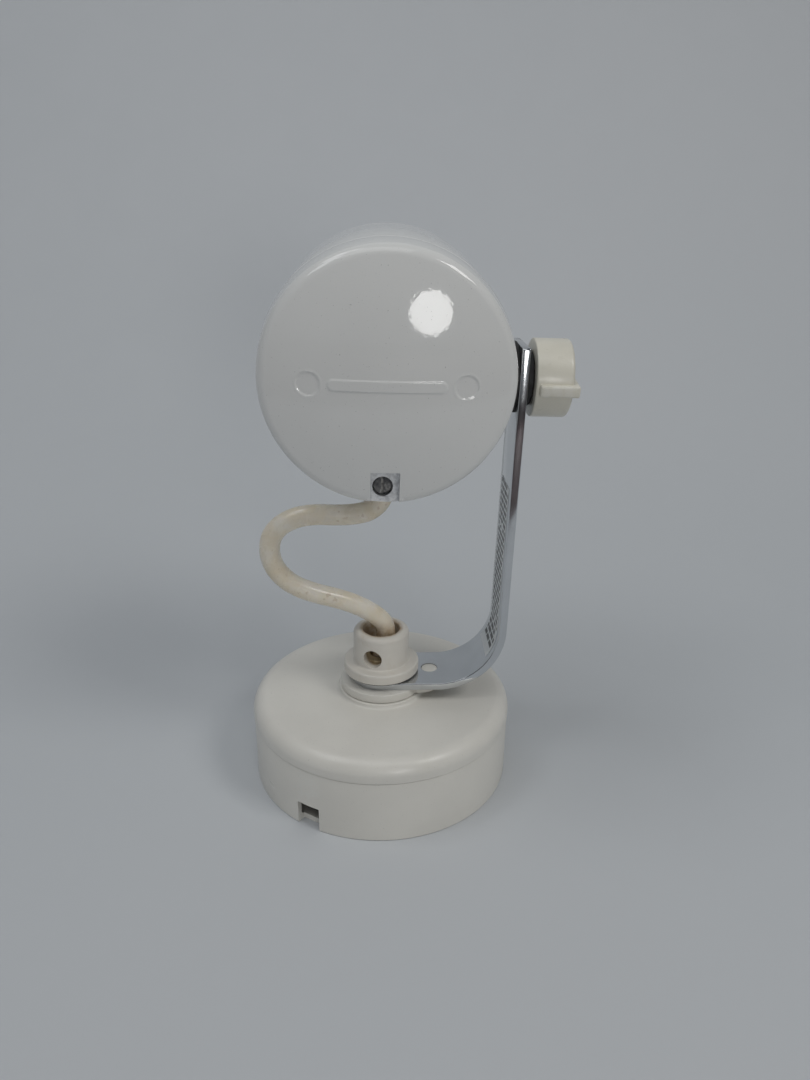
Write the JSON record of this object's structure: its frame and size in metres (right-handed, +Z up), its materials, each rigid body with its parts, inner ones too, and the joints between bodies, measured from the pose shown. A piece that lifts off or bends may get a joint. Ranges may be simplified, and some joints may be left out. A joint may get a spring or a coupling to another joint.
{
  "type": "adjustable spotlight",
  "caption": "Adjustable spotlight: round surface base, flat-bar bracket with a hollow clamping nut and a clamping knob, a drum head with a glass front, and a thick cable looped between them.",
  "frame": {"origin": "centre of the base's underside, on the pan axis", "axes": "+Z up, away from the mounting surface; the tilt axis and its knob lie to +X; the beam leaves towards +Y"},
  "size_m": [0.1442, 0.1261, 0.2539],
  "materials": {
    "ivory_plastic": "satin",
    "head_enamel": "gloss",
    "knob_plastic": "gloss",
    "bar_metal": "satin",
    "cable_sheath": "gloss",
    "black_rubber": "matte",
    "grey_rubber": "matte",
    "steel": "satin",
    "dark_steel": "satin",
    "brass": "satin",
    "reflector_metal": "polished",
    "front_glass": "clear",
    "quartz": "clear",
    "tungsten": "satin",
    "lampholder_ceramic": "matte",
    "nylon": "matte",
    "label_paper": "satin",
    "core_brown": "satin",
    "core_blue": "satin",
    "core_green": "satin",
    "sleeve_black": "matte",
    "sleeve_white": "matte"
  },
  "bodies": {
    "base": {"base_housing": "ivory_plastic", "base_cover": "ivory_plastic", "cover_lock_screw": "steel", "stem": "steel", "base_terminal_block": "nylon", "base_terminal_tubes": "brass", "base_terminal_screws": "steel", "base_terminal_fixing": "steel", "base_earth_screw": "brass", "base_cord_clamp": "nylon", "base_clamp_screws": "steel", "base_core_live": "core_brown", "base_core_neutral": "core_blue", "base_core_earth": "core_green"},
    "arm": {"stop_ring": "ivory_plastic", "bracket": "bar_metal", "nut_washer": "black_rubber", "rating_label": "label_paper", "inner_washer": "black_rubber", "outer_washer": "black_rubber", "cable": "cable_sheath"},
    "clamp_nut": {"clamp_nut": "ivory_plastic"},
    "head": {"head_drum": "head_enamel", "rear_cover": "head_enamel", "rear_cover_screw": "dark_steel", "front_bezel": "head_enamel", "bezel_screws": "steel", "front_glass": "front_glass", "glass_gasket": "grey_rubber", "reflector": "reflector_metal", "chassis_plate": "steel", "chassis_screws": "steel", "lampholder": "lampholder_ceramic", "lampholder_screws": "steel", "lamp_capsule": "quartz", "lamp_filament": "tungsten", "lamp_pins": "steel", "head_terminal_block": "nylon", "head_terminal_tubes": "brass", "head_terminal_screws": "steel", "head_terminal_fixing": "steel", "head_earth_screw": "brass", "cable_grommet": "black_rubber", "head_cord_clamp": "nylon", "head_clamp_screws": "steel", "head_core_live": "core_brown", "head_core_neutral": "core_blue", "head_core_earth": "core_green", "lamp_lead_live": "sleeve_black", "lamp_lead_neutral": "sleeve_white", "pivot_stud": "steel", "pivot_nut": "steel"},
    "knob": {"knob": "knob_plastic", "knob_insert": "brass"}
  },
  "joints": [
    {"name": "pan", "type": "hinge", "parent": "base", "child": "arm", "pos_m": [0, 0, 0.0437], "axis": [0, 0, 1], "range_deg": [-165, 165]},
    {"name": "nut_turn", "type": "hinge", "parent": "base", "child": "clamp_nut", "pos_m": [0, 0, 0.062], "axis": [0, 0, 1], "range_deg": [0, 180]},
    {"name": "tilt", "type": "hinge", "parent": "arm", "child": "head", "pos_m": [0.00242, 0, 0.19483], "axis": [0.9998, 0, -0.0209], "range_deg": [-45, 90], "deforming": ["cable"]},
    {"name": "knob_turn", "type": "hinge", "parent": "head", "child": "knob", "pos_m": [0.00242, 0, 0.19483], "axis": [0.9998, 0, -0.0209], "range_deg": [0, 180]}
  ]
}
